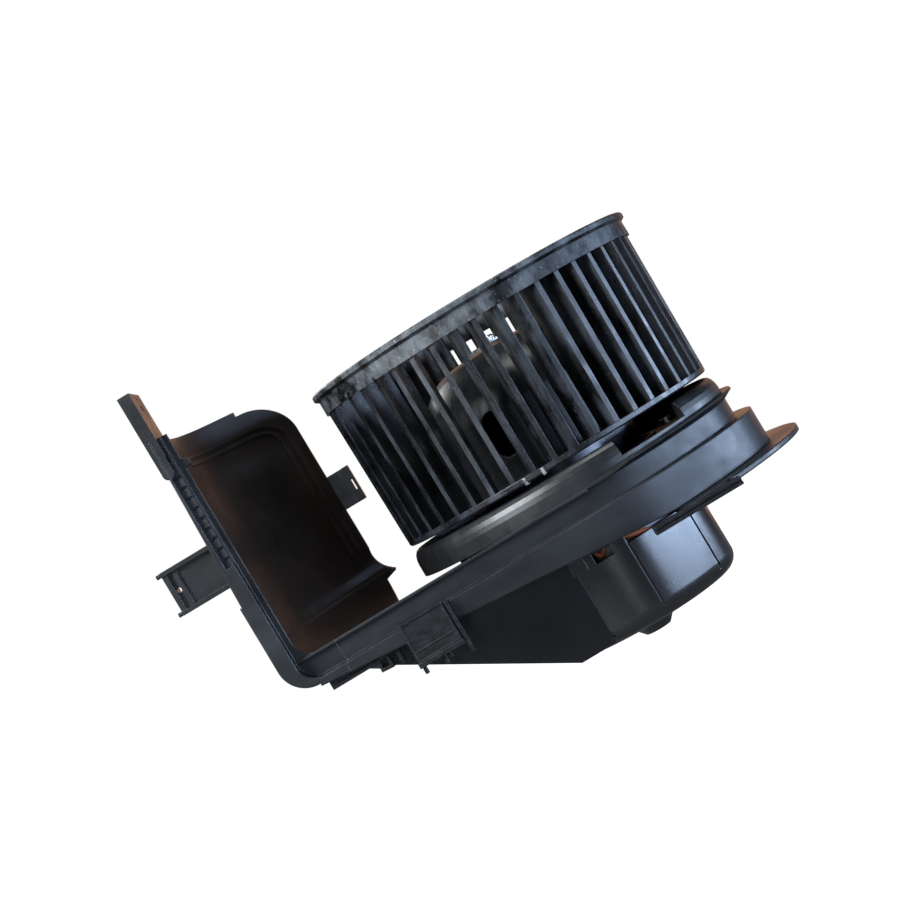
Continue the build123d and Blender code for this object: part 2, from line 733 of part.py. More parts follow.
def mounting_flange():
    """The rim that the blower is bolted down by, round the right half of the skirt."""
    rim = sector(FLANGE_R, FLANGE_IN_R, 0, SKIRT_Z0, FLANGE_FROM, FLANGE_TO)
    keep("mounting_flange", rim)


def lock_rail():
    """The grooved locking rail in front of the flange's end, under the skirt."""
    rail = box(RAIL_X0, RAIL_X1, -88.5, -80.2, -RAIL_HALF, RAIL_HALF)
    rail -= box(RAIL_X0 - 1, RAIL_X1 + 1, -89.5, -87.3, -0.4, 0.5)
    tongue = sector(92, FLANGE_IN_R, 0, SKIRT_Z0, -70.5, FLANGE_FROM) & box(0, RAIL_X1, -88.5, 0, -1, 5)
    keep("lock_rail", rail + tongue)


def motor_carrier():
    """Collar, ring plate, seat lip and sleeve in one moulding."""
    plate_z = BAR_Z + PLATE_T
    collar_in = COLLAR_R - 3.8
    ring = turned(
        [
            (SLEEVE_IN_R, 0.9),
            (SLEEVE_R, 0.9),
            (SLEEVE_R, BAR_Z),
            (COLLAR_R, BAR_Z),
            (COLLAR_R, COLLAR_TOP - 6.0),
            (COLLAR_R - 0.3, COLLAR_TOP - 3.8),
            (COLLAR_R - 1.0, COLLAR_TOP - 1.9),
            (COLLAR_R - 2.1, COLLAR_TOP - 0.5),
            (COLLAR_R - 3.2, COLLAR_TOP),
            (collar_in, COLLAR_TOP),
            (collar_in, plate_z),
            (SLEEVE_R, plate_z),
            (SLEEVE_R, SLEEVE_TOP),
            (SLEEVE_IN_R, SLEEVE_TOP),
        ]
    )
    ring += seat_lip()
    ring -= sector(SEAT_LIP_R + 5, collar_in - 3, plate_z + 2.4, COLLAR_TOP + 1, WINDOW_FROM, WINDOW_TO)
    for x, y in screw_places():
        ring -= rod(2.2, BAR_Z - 1, plate_z + 1, x, y)
    keep("motor_carrier", ring)


def seat_lip():
    """The upturned lip round the right half of the collar's foot, straight in front and rising to the right."""
    lip = turned(
        [
            (COLLAR_R - 0.7, BAR_Z),
            (COLLAR_R + 0.6, BAR_Z),
            (SEAT_LIP_R, SEAT_LIP_Z - 1.0),
            (SEAT_LIP_R - 0.4, SEAT_LIP_Z),
            (COLLAR_R - 0.7, BAR_Z + PLATE_T),
        ]
    )
    lip = Pos(0, 0, -SEAT_LIP_RISE) * Rot(0, -degrees(atan2(SEAT_LIP_RISE, SEAT_LIP_R)), 0) * lip
    return lip & box(0, 100, -SKIRT_R + STEP - BAR_LIP, 100, BAR_Z, SEAT_LIP_Z + 2)


def carrier_screws():
    """Pan-head screws from the carrier into the flange's bosses."""
    top = BAR_Z + PLATE_T
    screws = []
    for x, y in screw_places():
        head = rod(3.8, top, top + 2.4, x, y)
        shank = rod(1.6, STEP_Z + 1, top, x, y)
        cross = Pos(x, y, top + 2.4) * (Box(4.4, 0.9, 2.4) + Box(0.9, 4.4, 2.4))
        screws.append(head + shank - cross)
    keep("carrier_screws", *screws)


def cup_outline(outer, floor, edge):
    """The cup's turned shape for one skin."""
    slant = sqrt(0.5)
    lines = Curve() + [
        Line((0, 0, floor), (outer - edge, 0, floor)),
        ThreePointArc(
            (outer - edge, 0, floor),
            (outer - edge + edge * slant, 0, floor + edge - edge * slant),
            (outer, 0, floor + edge),
        ),
        Line((outer, 0, floor + edge), (outer, 0, FLOOR_Z)),
        Line((outer, 0, FLOOR_Z), (0, 0, FLOOR_Z)),
        Line((0, 0, FLOOR_Z), (0, 0, floor)),
    ]
    return revolve(make_face(lines), Axis.Z)


def motor_cup():
    """The cup round the motor's lower half, with its boss, grooves, pad and notched rim."""
    cup = cup_outline(CUP_R, CUP_BOTTOM, CUP_EDGE_R)
    cup += turned([(0, CUP_BOTTOM + 1), (11, CUP_BOTTOM + 1), (10, CUP_BOTTOM - 3), (6, BOSS_BOTTOM), (0, BOSS_BOTTOM)])
    cup -= cup_outline(CUP_R - CUP_WALL, CUP_BOTTOM + CUP_WALL, CUP_EDGE_R - CUP_WALL)
    cup -= rod(POCKET_R + 0.4, CAN_Z0 - POCKET_DEEP - 1.8, CUP_BOTTOM + 4)
    cup -= sector(CUP_R + 5, CUP_R - 10, CUP_LOW_TOP, FLOOR_Z + 1, CUP_LOW_FROM, CUP_LOW_TO)
    cup += cup_pad()
    cup -= box(NOTCH_X0, NOTCH_X1, -60, -38, NOTCH_FLOOR, FLOOR_Z + 1)
    for angle in CUP_GROOVES:
        cup -= sector(CUP_R + 1, CUP_R - 0.8, CUP_BOTTOM + 4, FLOOR_Z + 1, angle - 0.7, angle + 0.7)
    cup -= duct_window()
    cup -= connector_window()
    keep("motor_cup", cup)


def cup_pad():
    """The flat pad on the cup's front, left of its notch."""
    return sector(CUP_R + 0.6, CUP_R - 1, -3.3, 9.0, -124.0, -108.6)


def duct_window():
    """The opening where cooling air enters the cup."""
    return box(-60, -28, -30, -12, -26, -8)


def connector_window():
    """The opening where the connector passes through the cup."""
    return box(-9.2, 9.2, 34, 60, -20.2, -7.8)


def duct_floor(x, raised):
    """Height of the duct's floor at x, raised by some wall."""
    return DUCT_Z0 - (min(x, DUCT_KNEE_X) - DUCT_X0) * DUCT_SLOPE + raised


def cooling_duct():
    """The wedge-shaped channel that leads air from the scroll's floor into the cup."""
    corners = (DUCT_X0, DUCT_KNEE_X, DUCT_X1)
    outer = [(x, duct_floor(x, 0)) for x in corners] + [(DUCT_X1, FLOOR_Z), (DUCT_X0, FLOOR_Z)]
    x0 = DUCT_X0 + DUCT_WALL
    high = FLOOR_Z - DUCT_WALL
    corners = (x0, DUCT_KNEE_X, DUCT_X1 + 1)
    inner = [(x, duct_floor(x, DUCT_WALL)) for x in corners] + [(DUCT_X1 + 1, high), (x0, high)]
    duct = slab(outer, DUCT_Y0, DUCT_Y1) - slab(inner, DUCT_Y0 + DUCT_WALL, DUCT_Y1 - DUCT_WALL)
    duct -= box(*AIR_HOLE, high - 1, FLOOR_Z + 1)
    duct -= rod(CUP_R, -60, FLOOR_Z + 1)
    duct -= cup_pad()
    keep("cooling_duct", biggest(duct))


# ---------------------------------------------------------------- motor


def motor_can():
    """The drawn steel can with a bearing pocket in its bottom."""
    can = tube(CAN_R, CAN_R - CAN_WALL, CAN_Z0, CAN_TOP)
    can += tube(CAN_R, LOW_BUSH_R, CAN_Z0, CAN_Z0 + CAN_WALL)
    can += tube(POCKET_R, LOW_BUSH_R, CAN_Z0 - POCKET_DEEP, CAN_Z0 + CAN_WALL)
    can += tube(POCKET_R, SHAFT_R + 1, CAN_Z0 - POCKET_DEEP - 1.2, CAN_Z0 - POCKET_DEEP)
    can -= Pos(0, CAN_R, 44) * Rot(90, 0, 0) * Box(9.0, 4.4, 8)
    keep("motor_can", can)


def magnets():
    """Two arc magnets inside the can."""
    outer = CAN_R - CAN_WALL
    keep("magnets", *[sector(outer, 30.2, -15, 31, a, a + 130) for a in (25, 205)])


def end_cover():
    """The steel plate that closes the can, with the upper bearing's cup."""
    cover = tube(CAN_R, 12.0, CAN_TOP, CAN_TOP + 1.8)
    cover += tube(12.0, 9.0, CAN_TOP, CAN_TOP + 9)
    cover += tube(12.0, 5.0, CAN_TOP + 9, CAN_TOP + 10.2)
    for x, y in [polar(30, a) for a in (45, 135, 225, 315)]:
        cover -= rod(2.0, CAN_TOP - 1, CAN_TOP + 3, x, y)
    keep("end_cover", cover)


def bearings():
    """Sintered bushes that carry the shaft."""
    bore = SHAFT_R + RUNNING
    keep("upper_bearing", tube(9.0, bore, CAN_TOP + 1.0, CAN_TOP + 9))
    keep("lower_bearing", tube(LOW_BUSH_R, bore, CAN_Z0 - POCKET_DEEP, CAN_Z0 + 4.5))


def motor_shaft():
    """The steel shaft from the lower bearing to the hub."""
    shaft = rod(SHAFT_R, SHAFT_Z0, SHAFT_TOP - 0.8)
    shaft += Pos(0, 0, SHAFT_TOP - 0.8) * Cone(
        SHAFT_R, SHAFT_R - 0.8, 0.8, align=(Align.CENTER, Align.CENTER, Align.MIN)
    )
    keep("motor_shaft", shaft)


def armature_core():
    """The slotted lamination stack."""
    core = tube(ARMATURE_R, SHAFT_R, ARMATURE_Z0, ARMATURE_Z1)
    for k in range(SLOTS):
        slot = box(14, 26.5, -3.0, 3.0, ARMATURE_Z0 - 1, ARMATURE_Z1 + 1)
        slot += box(26, 30, -1.0, 1.0, ARMATURE_Z0 - 1, ARMATURE_Z1 + 1)
        core -= Rot(0, 0, k * 360 / SLOTS) * slot
    keep("armature_core", core)


def end_turns(z0, z1):
    """One bundle of copper end turns, rounded on its outside."""
    middle = (z0 + z1) / 2
    return turned(
        [(8, z0), (22, z0), (26, z0 + 1.8), (26.8, middle), (26, z1 - 1.8), (22, z1), (8, z1)]
    )


def armature_windings():
    """Copper end turns above and below the stack."""
    low = end_turns(ARMATURE_Z0 - 9, ARMATURE_Z0)
    high = end_turns(ARMATURE_Z1, ARMATURE_Z1 + 7.4)
    keep("armature_windings", low, high)


def commutator():
    """Copper bars round the shaft, with saw cuts between them."""
    drum = tube(COMMUTATOR_R, SHAFT_R, COMMUTATOR_Z0, COMMUTATOR_Z1)
    for k in range(SLOTS):
        cut = box(COMMUTATOR_R - 1.0, COMMUTATOR_R + 1, -0.25, 0.25, COMMUTATOR_Z0 - 1, COMMUTATOR_Z1 + 1)
        drum -= Rot(0, 0, (k + 0.5) * 360 / SLOTS) * cut
    keep("commutator", drum)


def brush_card():
    """The insulating plate that carries the brushes."""
    card = tube(CAN_R - CAN_WALL, 13.0, CARD_Z0, CARD_Z0 + CARD_T)
    for angle in (60, 120, 240, 300):
        x, y = polar(24, angle)
        card -= rod(3.2, CARD_Z0 - 1, CARD_Z0 + 4, x, y)
    keep("brush_card", card)


def brush_box():
    """A brass guide for one brush along +X."""
    z0 = CARD_Z0 + CARD_T
    half = BRUSH / 2 + BRUSH_GAP
    outside = half + BOX_WALL
    height = BRUSH + 2 * BRUSH_GAP + 2 * BOX_WALL
    guide = box(14.5, 32.0, -outside, outside, z0, z0 + height)
    return guide - box(13, 31.2, -half, half, z0 + BOX_WALL, z0 + height - BOX_WALL)


def brushes():
    """Carbon brushes, their guides and their springs."""
    guide = brush_box()
    keep("brush_boxes", guide, Rot(0, 0, 180) * guide)
    z0 = CARD_Z0 + CARD_T + BOX_WALL + BRUSH_GAP
    start = COMMUTATOR_R + 0.15
    brush = box(start, start + BRUSH_LENGTH, -BRUSH / 2, BRUSH / 2, z0, z0 + BRUSH)
    keep("brush_right", brush)
    keep("brush_left", Rot(0, 0, 180) * brush)
    middle = z0 + BRUSH / 2
    spring_start = start + BRUSH_LENGTH
    spring = Pos((spring_start + 31.2) / 2, 0, middle) * Rot(0, 90, 0) * (
        Cylinder(2.4, 31.2 - spring_start) - Cylinder(1.8, 40)
    )
    keep("brush_spring_right", spring)
    keep("brush_spring_left", Rot(0, 0, 180) * spring)


def rubber_mounts():
    """Rubber blocks between the can and the sleeve, and the pad under the can."""
    blocks = [sector(SLEEVE_IN_R, CAN_R, 6, 28, a - 11, a + 11) for a in (30, 150, 270)]
    keep("rubber_mounts", *blocks)
    keep("rubber_pad", tube(PAD_R, PAD_R - 8, CUP_BOTTOM + CUP_WALL, CAN_Z0))


def connector():
    """The plug socket behind the cup, its two blades and their leads."""
    shell = box(-12, 12, 44.6, 60, -22, -6) - box(-9.6, 9.6, 50, 62, -19.6, -8.4)
    shell += box(-9.1, 9.1, 40.6, 45, -20.1, -7.9)
    for x in (-5, 5):
        shell -= box(x - 3.2, x + 3.2, 38, 62, -14.5, -13.5)
    keep("connector_shell", shell)
    blades = [box(x - 3.2, x + 3.2, 40.6, 58, -14.4, -13.6) for x in (-5, 5)]
    keep("terminals", *blades)
    keep("leads", *[lead(x) for x in (-2.6, 2.6)])


def lead(x):
    """One insulated lead from a terminal up the can to the brush card."""
    route = FilletPolyline((x, 38.0, -12), (x, 38.0, 44.0), (x, 30.0, 44.0), radius=3.2)
    section = Plane(route @ 0, z_dir=route % 0) * Circle(1.1)
    return sweep(section, path=route)


def rim_lead():
    """The coloured lead that sags into the cup's notch and runs on along its lower rim."""
    points = [(*polar(RIM_LEAD_R, angle), z) for angle, z in RIM_LEAD_ROUTE]
    route = Spline(*points)
    section = Plane(route @ 0, z_dir=route % 0) * Circle(RIM_LEAD_D / 2)
    keep("rim_lead", sweep(section, path=route))


def main():
    """Make every node and write its file."""
    for make in (
        wheel_blades, wheel_top_ring, wheel_back_plate, wheel_hub, hub_insert, shaft_clip, balance_clips,
        scroll_base, outlet, post_seal, front_clip, lower_hooks, mounting_flange, lock_rail,
        motor_carrier,
        carrier_screws, motor_cup, cooling_duct, motor_can, magnets, end_cover, bearings, motor_shaft,
        armature_core, armature_windings, commutator, brush_card, brushes, rubber_mounts, connector, rim_lead,
    ):
        make()
    os.makedirs("parts", exist_ok=True)
    for name, shape in PARTS.items():
        export_step(shape, f"parts/{name}.step")


main()
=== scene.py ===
"""Looks of the heater blower: materials, floor, lights and camera."""
import bpy
import json
from math import pi, radians
from mathutils import Matrix, Vector


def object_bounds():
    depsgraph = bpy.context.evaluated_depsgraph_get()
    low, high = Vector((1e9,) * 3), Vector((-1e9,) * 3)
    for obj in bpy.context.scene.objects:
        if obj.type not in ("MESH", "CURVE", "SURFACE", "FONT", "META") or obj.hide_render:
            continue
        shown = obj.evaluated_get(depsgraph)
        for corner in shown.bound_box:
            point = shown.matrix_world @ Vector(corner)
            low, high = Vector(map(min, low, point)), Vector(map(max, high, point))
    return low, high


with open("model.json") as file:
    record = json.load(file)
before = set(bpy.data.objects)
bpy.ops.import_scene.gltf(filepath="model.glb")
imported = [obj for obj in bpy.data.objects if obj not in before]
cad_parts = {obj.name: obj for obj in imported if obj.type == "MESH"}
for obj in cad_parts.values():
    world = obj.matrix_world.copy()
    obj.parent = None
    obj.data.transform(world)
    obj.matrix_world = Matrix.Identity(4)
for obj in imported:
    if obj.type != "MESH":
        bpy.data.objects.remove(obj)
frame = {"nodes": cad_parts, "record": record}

CAD_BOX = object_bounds()
NODES = frame["nodes"]

# ---- view ----
EYE = Vector((-0.0378, -0.850, 0.068))      # metres, in the part's frame
ROLL = radians(-31.0)                       # the object leans to the left in the picture
LENS = 78.9                                 # focal length, mm
SENSOR = 36                                 # width of the sensor, mm

# ---- surfaces ----
OWN_LOOKS = {
    "scroll_base": "casing_long_lit",
    "seam_post": "casing_long_lit",
    "mounting_flange": "casing_long_lit",
    "wheel_top_ring": "wheel_band",
}
EDGE_R = 0.0003                             # soft edges of small mouldings, metres
WIDE_EDGE_R = 0.0010                        # soft edges of the casing's long steps and the scoop
EDGE_SAMPLES = 8
EDGE_TURN = (0.97, 0.75)                    # cosine of rounded to flat normal, from face to full edge
EVEN = (1, 1, 1)                            # a noise that is not stretched

# ---- moulded plastic; a noise is scale, detail, roughness ----
CLOUD = 40.0                                # scale of the cloudy tone
CLOUD_GRAIN = (6.0, 0.66)                   # its detail and roughness
PATCH = (0.38, 0.66)                        # part of the cloud noise that goes from dark to light
SKIN = 1500.0                               # scale of the fine skin
SKIN_GRAIN = (2.0, 0.5)                     # its detail and roughness
SKIN_DEPTH = 0.00002                        # metres
EDGE_WEAR_AND_HIGHLIGHT = 0.35                                 # how far an edge goes to the pale colour: wear and a painted edge highlight
SHINE = 0.5                                 # specular level
PALE_FROM = 0.045                           # the pale colour: this much, and the light colour
PALE_GAIN = 1.6                             # times this much
SCUFF_AND_HIGHLIGHT_NOISE = (160.0, 3.0, 0.6)
SCUFF_AND_HIGHLIGHT_RANGE = (0.35, 0.6)
DUST = (900.0, 2.0, 0.7)
DUST_RANGE = (0.62, 0.72)
GLOSS_TO_CLOUD = 2.6                        # scale of the uneven gloss, against the clouds'
GLOSS_GRAIN = (5.0, 0.6)                    # its detail and roughness
GLOSS_RANGE = (0.32, 0.68)

# ---- metal ----
TARNISH = 300.0                             # scale of the uneven tone
TARNISH_GRAIN = (4.0, 0.6)                  # its detail and roughness
METAL_RANGE = (0.3, 0.7)                    # part of each noise that is used
METAL_GLOSS_GRAIN = (3.0, 0.5)
METAL_GLOSS_TO_TONE = 2                     # scale of the uneven gloss, against the tone's
METAL_SKIN_TO_TONE = 3                      # scale of the fine skin, against the tone's
METAL_SKIN_DEPTH = 0.00001                  # metres

# ---- foam ----
CELLS = (1400.0, 4.0, 0.7)
CELL_RANGE = (0.35, 0.65)
CELL_DEPTH = 0.0004                         # metres
FOAM_DARK = (0.008, 0.008, 0.009)
FOAM_LIGHT = (0.05, 0.05, 0.054)
FOAM_GLOSS_RANGE = (0.3, 0.7)
FOAM_ROUGH = (0.8, 1.0)

# ---- floor and surroundings ----
FLOOR_DROP = 0.11                           # floor below the lowest point, metres
FLOOR_R = 6.0                               # metres
FLOOR_SIDES = 128
FLOOR_CLOUD = 3.0
FLOOR_DARK = (0.10, 0.10, 0.10)
FLOOR_LIGHT = (0.12, 0.12, 0.12)
FLOOR_ROUGH = 0.9
WORLD_DIM = 0.015                           # the surroundings' strength as a light source
WHITE = (1, 1, 1, 1)

# ---- soft boxes: name, place and size in metres, power in watts, colour ----
AIM = (0.0, 0.0, 0.05)                      # the point that all of them face
SOFT_BOXES = (
    ("right", (1.47, -0.42, -0.03), (2.8, 0.22), 38, (0.54, 0.71, 1.0)),
    ("left", (-0.96, -0.88, 0.82), (0.8, 0.8), 62, (0.88, 0.95, 1.0)),
    ("front", (-0.20, -1.60, 0.10), (0.20, 0.35), 0.9, (0.80, 0.90, 1.0)),
    ("top", (0.3, -0.25, 1.4), (0.7, 0.6), 9, (0.93, 0.97, 1.0)),
    ("warm", (0.30, 1.38, 0.3), (1.2, 1.0), 3.0, (1.0, 0.56, 0.37)),
    ("back", (-0.85, 1.10, 0.75), (0.8, 0.8), 12, (0.95, 0.97, 1.0)),
)


# ---------------------------------------------------------------- node helpers


def new_material(name):
    """A material with an empty tree, its Principled shader and its output."""
    mat = bpy.data.materials.new(name)
    mat.use_nodes = True
    tree = mat.node_tree
    tree.nodes.clear()
    out = tree.nodes.new("ShaderNodeOutputMaterial")
    shader = tree.nodes.new("ShaderNodeBsdfPrincipled")
    tree.links.new(shader.outputs["BSDF"], out.inputs["Surface"])
    return mat, tree, shader


def noise(tree, scale, detail=3.0, rough=0.5, stretch=EVEN):
    """A noise value over the object's own metres."""
    coords = tree.nodes.new("ShaderNodeTexCoord")
    mapping = tree.nodes.new("ShaderNodeMapping")
    mapping.inputs["Scale"].default_value = stretch
    node = tree.nodes.new("ShaderNodeTexNoise")
    node.inputs["Scale"].default_value = scale
    node.inputs["Detail"].default_value = detail
    node.inputs["Roughness"].default_value = rough
    tree.links.new(coords.outputs["Object"], mapping.inputs["Vector"])
    tree.links.new(mapping.outputs["Vector"], node.inputs["Vector"])
    return node.outputs["Fac"]


def spread(tree, value, low, high, out_low=0.0, out_high=1.0):
    """A value moved from one range to another and held inside it."""
    node = tree.nodes.new("ShaderNodeMapRange")
    node.inputs["From Min"].default_value = low
    node.inputs["From Max"].default_value = high
    node.inputs["To Min"].default_value = out_low
    node.inputs["To Max"].default_value = out_high
    tree.links.new(value, node.inputs["Value"])
    return node.outputs["Result"]


def mixed(tree, value, first, second):
    """A colour between two, by a value. Each colour is a triple or another node's output."""
    node = tree.nodes.new("ShaderNodeMix")
    node.data_type = "RGBA"
    for socket, colour in (("A", first), ("B", second)):
        if isinstance(colour, tuple):
            node.inputs[socket].default_value = (*colour, 1)
        else:
            tree.links.new(colour, node.inputs[socket])
    tree.links.new(value, node.inputs["Factor"])
    return node.outputs["Result"]


def product(tree, first, second):
    """Two values multiplied."""
    node = tree.nodes.new("ShaderNodeMath")
    node.operation = "MULTIPLY"
    tree.links.new(first, node.inputs[0])
    tree.links.new(second, node.inputs[1])
    return node.outputs["Value"]


def soft_edge(tree, radius):
    """A normal that is rounded at the edges, and how much of an edge each point is."""
    rounded = tree.nodes.new("ShaderNodeBevel")
    rounded.samples = EDGE_SAMPLES
    rounded.inputs["Radius"].default_value = radius
    flat = tree.nodes.new("ShaderNodeNewGeometry")
    dot = tree.nodes.new("ShaderNodeVectorMath")
    dot.operation = "DOT_PRODUCT"
    tree.links.new(rounded.outputs["Normal"], dot.inputs[0])
    tree.links.new(flat.outputs["Normal"], dot.inputs[1])
    return rounded.outputs["Normal"], spread(tree, dot.outputs["Value"], *EDGE_TURN)


def bump(tree, shader, height, depth, normal=None):
    """Roughen a shader's surface by a height field, depth in metres."""
    node = tree.nodes.new("ShaderNodeBump")
    node.inputs["Distance"].default_value = depth
    node.inputs["Strength"].default_value = 1.0
    tree.links.new(height, node.inputs["Height"])
    if normal is not None:
        tree.links.new(normal, node.inputs["Normal"])
    tree.links.new(node.outputs["Normal"], shader.inputs["Normal"])


# ---------------------------------------------------------------- materials


def moulded_plastic(name, dark, light, rough, cloud=CLOUD, patch=PATCH, skin=SKIN, depth=SKIN_DEPTH,
                    edge_wear_and_highlight=EDGE_WEAR_AND_HIGHLIGHT, speck=0.0, stretch=EVEN, edge_r=EDGE_R, shine=SHINE):
    """Moulded plastic: cloudy tone, uneven gloss, pale edges (wear and a painted edge highlight), dust
    specks and a fine skin.
    """
    mat, tree, shader = new_material(name)
    normal, edge = soft_edge(tree, edge_r)
    tone = spread(tree, noise(tree, cloud, *CLOUD_GRAIN, stretch), *patch)
    colour = mixed(tree, tone, dark, light)
    pale = tuple(PALE_FROM + PALE_GAIN * c for c in light)
    # Pale patches along the edges: wear, and a painted edge highlight.
    scuffs_and_edge_highlight = spread(tree, noise(tree, *SCUFF_AND_HIGHLIGHT_NOISE), *SCUFF_AND_HIGHLIGHT_RANGE, 0.0, edge_wear_and_highlight)
    colour = mixed(tree, product(tree, edge, scuffs_and_edge_highlight), colour, pale)
    if speck:
        dust = spread(tree, noise(tree, *DUST), *DUST_RANGE, 0.0, speck)
        colour = mixed(tree, dust, colour, pale)
    tree.links.new(colour, shader.inputs["Base Color"])
    gloss = spread(tree, noise(tree, cloud * GLOSS_TO_CLOUD, *GLOSS_GRAIN, stretch), *GLOSS_RANGE, *rough)
    tree.links.new(gloss, shader.inputs["Roughness"])
    shader.inputs["Specular IOR Level"].default_value = shine
    bump(tree, shader, noise(tree, skin, *SKIN_GRAIN), depth, normal)
    return mat


def metal(name, dark, light, rough, scale=TARNISH, stretch=EVEN):
    """Bare or plated metal with uneven tone and gloss."""
    mat, tree, shader = new_material(name)
    tone = spread(tree, noise(tree, scale, *TARNISH_GRAIN, stretch), *METAL_RANGE)
    tree.links.new(mixed(tree, tone, dark, light), shader.inputs["Base Color"])
    patches = noise(tree, scale * METAL_GLOSS_TO_TONE, *METAL_GLOSS_GRAIN)
    tree.links.new(spread(tree, patches, *METAL_RANGE, *rough), shader.inputs["Roughness"])
    skin = noise(tree, scale * METAL_SKIN_TO_TONE, *SKIN_GRAIN, stretch)
    bump(tree, shader, skin, METAL_SKIN_DEPTH)
    shader.inputs["Metallic"].default_value = 1.0
    return mat


def foam(name):
    """Open-cell foam: matt, pitted, slightly uneven."""
    mat, tree, shader = new_material(name)
    cells = noise(tree, *CELLS)
    tone = mixed(tree, spread(tree, cells, *CELL_RANGE), FOAM_DARK, FOAM_LIGHT)
    tree.links.new(tone, shader.inputs["Base Color"])
    gloss = spread(tree, cells, *FOAM_GLOSS_RANGE, *FOAM_ROUGH)
    tree.links.new(gloss, shader.inputs["Roughness"])
    bump(tree, shader, cells, CELL_DEPTH)
    return mat


def slot_materials():
    """One material for each material slot of the record, and one for each of OWN_LOOKS."""
    black = (0.003, 0.003, 0.0035)
    jet = (0.002, 0.002, 0.0025)
    return {
        "casing_plastic": moulded_plastic(
            "casing", black, (0.010, 0.010, 0.0115), (0.28, 0.42)),
        # A lighter, bluer copy of the casing plastic for the front bar, post and flange: painted light,
        # where these faces catch the soft boxes.
        "casing_long_lit": moulded_plastic(
            "casing_long_lit", (0.005, 0.0055, 0.0065), (0.017, 0.019, 0.023), (0.28, 0.44),
            cloud=30.0, edge_wear_and_highlight=0.25, stretch=(0.4, 1, 1), edge_r=WIDE_EDGE_R, shine=0.4),
        # The brown tint and lift of the scoop's colour are a painted reflection of warm light from behind
        # the part.
        "scoop_plastic": moulded_plastic(
            "scoop", (0.012, 0.0085, 0.007), (0.030, 0.021, 0.018), (0.34, 0.52),
            cloud=22.0, edge_r=WIDE_EDGE_R),
        "carrier_plastic": moulded_plastic(
            "carrier", black, (0.014, 0.015, 0.016), (0.28, 0.46),
            cloud=34.0, edge_wear_and_highlight=0.4, speck=0.2, stretch=(1, 1, 0.6)),
        "cup_plastic": moulded_plastic(
            "cup", (0.002, 0.002, 0.003), (0.005, 0.005, 0.008), (0.18, 0.30),
            cloud=30.0, stretch=(1, 1, 0.4), shine=1.0),
        "duct_plastic": moulded_plastic(
            "duct", black, (0.006, 0.006, 0.008), (0.3, 0.46), shine=0.35),
        "clip_plastic": moulded_plastic(
            "clip", jet, (0.012, 0.012, 0.014), (0.3, 0.55),
            cloud=260.0, edge_wear_and_highlight=0.5, stretch=(1, 1, 2.4), shine=0.3),
        "wheel_plastic": moulded_plastic(
            "wheel", jet, (0.030, 0.034, 0.042), (0.22, 0.44), cloud=70.0, patch=(0.44, 0.66),
            skin=2400.0, depth=0.00003, edge_wear_and_highlight=0.3, speck=0.35, stretch=(1, 1, 0.6)),
        "wheel_band": moulded_plastic(
            "wheel_band", (0.001, 0.001, 0.0012), (0.085, 0.094, 0.105), (0.24, 0.62),
            cloud=85.0, patch=(0.46, 0.64), skin=2400.0, depth=0.00004, edge_wear_and_highlight=0.3, speck=0.8,
            stretch=(1, 1, 0.6), shine=0.4),
        "hub_plastic": moulded_plastic(
            "hub", black, (0.013, 0.013, 0.0145), (0.22, 0.40),
            cloud=60.0, speck=0.3, stretch=(1, 1, 0.25), shine=0.28),
        "insert_plastic": moulded_plastic(
            "insert", (0.03, 0.03, 0.03), (0.06, 0.06, 0.06), (0.4, 0.6)),
        "card_plastic": moulded_plastic(
            "card", (0.20, 0.10, 0.035), (0.34, 0.18, 0.07), (0.4, 0.6), cloud=120.0, edge_wear_and_highlight=0.1),
        "carbon": moulded_plastic(
            "carbon", (0.012, 0.012, 0.012), (0.035, 0.035, 0.036), (0.35, 0.6), cloud=800.0),
        "lead_insulation": moulded_plastic(
            "lead", (0.02, 0.02, 0.02), (0.04, 0.04, 0.04), (0.3, 0.45), edge_wear_and_highlight=0.0),
        "rubber": moulded_plastic(
            "rubber", (0.008, 0.008, 0.008), (0.018, 0.018, 0.018), (0.7, 0.9), edge_wear_and_highlight=0.2),
        "seal_foam": foam("foam"),
        "ferrite": moulded_plastic(
            "ferrite", (0.04, 0.04, 0.043), (0.08, 0.08, 0.084), (0.5, 0.7), cloud=300.0),
        "zinc_steel": metal("zinc", (0.40, 0.41, 0.42), (0.66, 0.66, 0.66), (0.28, 0.45)),
        "can_steel": metal("can", (0.05, 0.052, 0.058), (0.10, 0.10, 0.11), (0.25, 0.42), scale=60.0),
        "rim_lead_insulation": moulded_plastic(
            "rim_lead", (0.50, 0.11, 0.035), (0.66, 0.20, 0.08), (0.25, 0.4), cloud=120.0, edge_wear_and_highlight=0.0),
        "spring_steel": metal("spring", (0.45, 0.45, 0.46), (0.66, 0.66, 0.67), (0.2, 0.35)),
        "shaft_steel": metal(
            "shaft", (0.55, 0.55, 0.56), (0.7, 0.7, 0.7), (0.12, 0.24), scale=500.0, stretch=(1, 1, 8)),
        "core_steel": metal(
            "core", (0.16, 0.16, 0.17), (0.34, 0.34, 0.35), (0.4, 0.6), scale=400.0,
            stretch=(0.1, 0.1, 12)),
        "bronze": metal("bronze", (0.42, 0.27, 0.13), (0.58, 0.40, 0.22), (0.35, 0.5)),
        "brass": metal("brass", (0.60, 0.42, 0.18), (0.76, 0.58, 0.30), (0.22, 0.4)),
        "copper": metal(
            "copper", (0.55, 0.24, 0.11), (0.78, 0.40, 0.22), (0.25, 0.4), scale=700.0,
            stretch=(1, 1, 5)),
    }


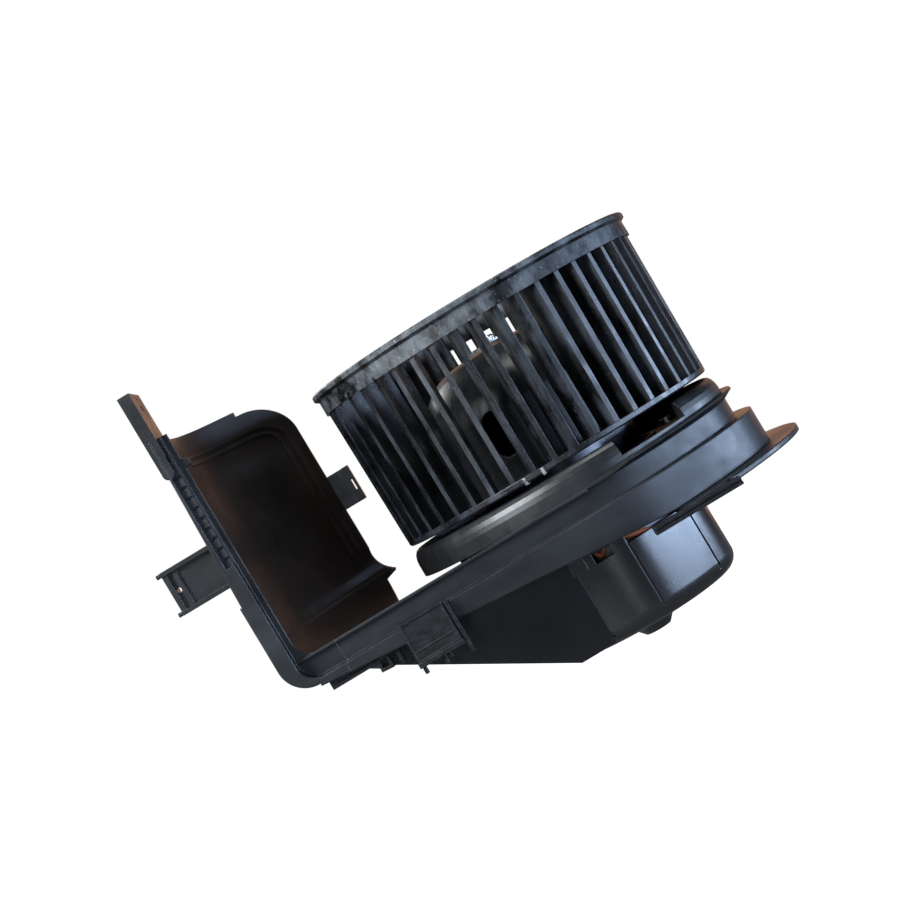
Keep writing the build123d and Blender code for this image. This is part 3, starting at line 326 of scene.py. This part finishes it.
def dress(looks):
    """Give every CAD node its own look, or else the look of its slot."""
    slot_of = {part["node"]: part["material_slot"] for part in frame["record"]["subparts"]}
    for node, obj in NODES.items():
        slots = obj.data.materials
        if len(slots) == 0:
            slots.append(None)
        for k in range(len(slots)):
            slots[k] = looks[OWN_LOOKS.get(node, slot_of[node])]


# ---------------------------------------------------------------- floor, lights and camera


def seen_white(tree, dim):
    """A strength that is full where the camera sees it and dim as a light source."""
    path = tree.nodes.new("ShaderNodeLightPath")
    return spread(tree, path.outputs["Is Camera Ray"], 0.0, 1.0, dim, 1.0)


def floor():
    """A plain floor under the part that the camera sees as white."""
    lowest = CAD_BOX[0][2]
    bpy.ops.mesh.primitive_circle_add(vertices=FLOOR_SIDES, radius=FLOOR_R, fill_type="NGON")
    disc = bpy.context.object
    disc.name = "floor"
    disc.location = (0, 0, lowest - FLOOR_DROP)
    mat, tree, shader = new_material("floor")
    tone = mixed(tree, noise(tree, FLOOR_CLOUD), FLOOR_DARK, FLOOR_LIGHT)
    tree.links.new(tone, shader.inputs["Base Color"])
    shader.inputs["Roughness"].default_value = FLOOR_ROUGH
    shader.inputs["Emission Color"].default_value = WHITE
    tree.links.new(seen_white(tree, 0.0), shader.inputs["Emission Strength"])
    disc.data.materials.append(mat)


def area_light(name, place, size, power, colour):
    """A soft box that faces the part and doesn't show in the picture."""
    data = bpy.data.lights.new(name, "AREA")
    data.shape = "RECTANGLE"
    data.size, data.size_y = size
    data.energy = power
    data.color = colour
    lamp = bpy.data.objects.new(name, data)
    bpy.context.collection.objects.link(lamp)
    lamp.location = place
    aim = Vector(AIM) - Vector(place)
    lamp.rotation_euler = aim.to_track_quat("-Z", "Y").to_euler()
    lamp.visible_camera = False


def lights():
    """Dim surroundings that look white, and soft boxes all round, with a warm one behind."""
    world = bpy.data.worlds.new("studio")
    bpy.context.scene.world = world
    world.use_nodes = True
    tree = world.node_tree
    back = tree.nodes["Background"]
    back.inputs["Color"].default_value = WHITE
    tree.links.new(seen_white(tree, WORLD_DIM), back.inputs["Strength"])
    for box in SOFT_BOXES:
        area_light(*box)


def camera():
    """The photographer's place, with the picture turned."""
    data = bpy.data.cameras.new("camera")
    data.lens = LENS
    data.sensor_width = SENSOR
    cam = bpy.data.objects.new("camera", data)
    bpy.context.collection.objects.link(cam)
    level = Matrix.Rotation(pi / 2, 4, "X")
    cam.matrix_world = Matrix.Translation(EYE) @ level @ Matrix.Rotation(ROLL, 4, "Z")
    bpy.context.scene.camera = cam


bpy.context.scene.view_settings.view_transform = "Standard"
dress(slot_materials())
floor()
lights()
camera()
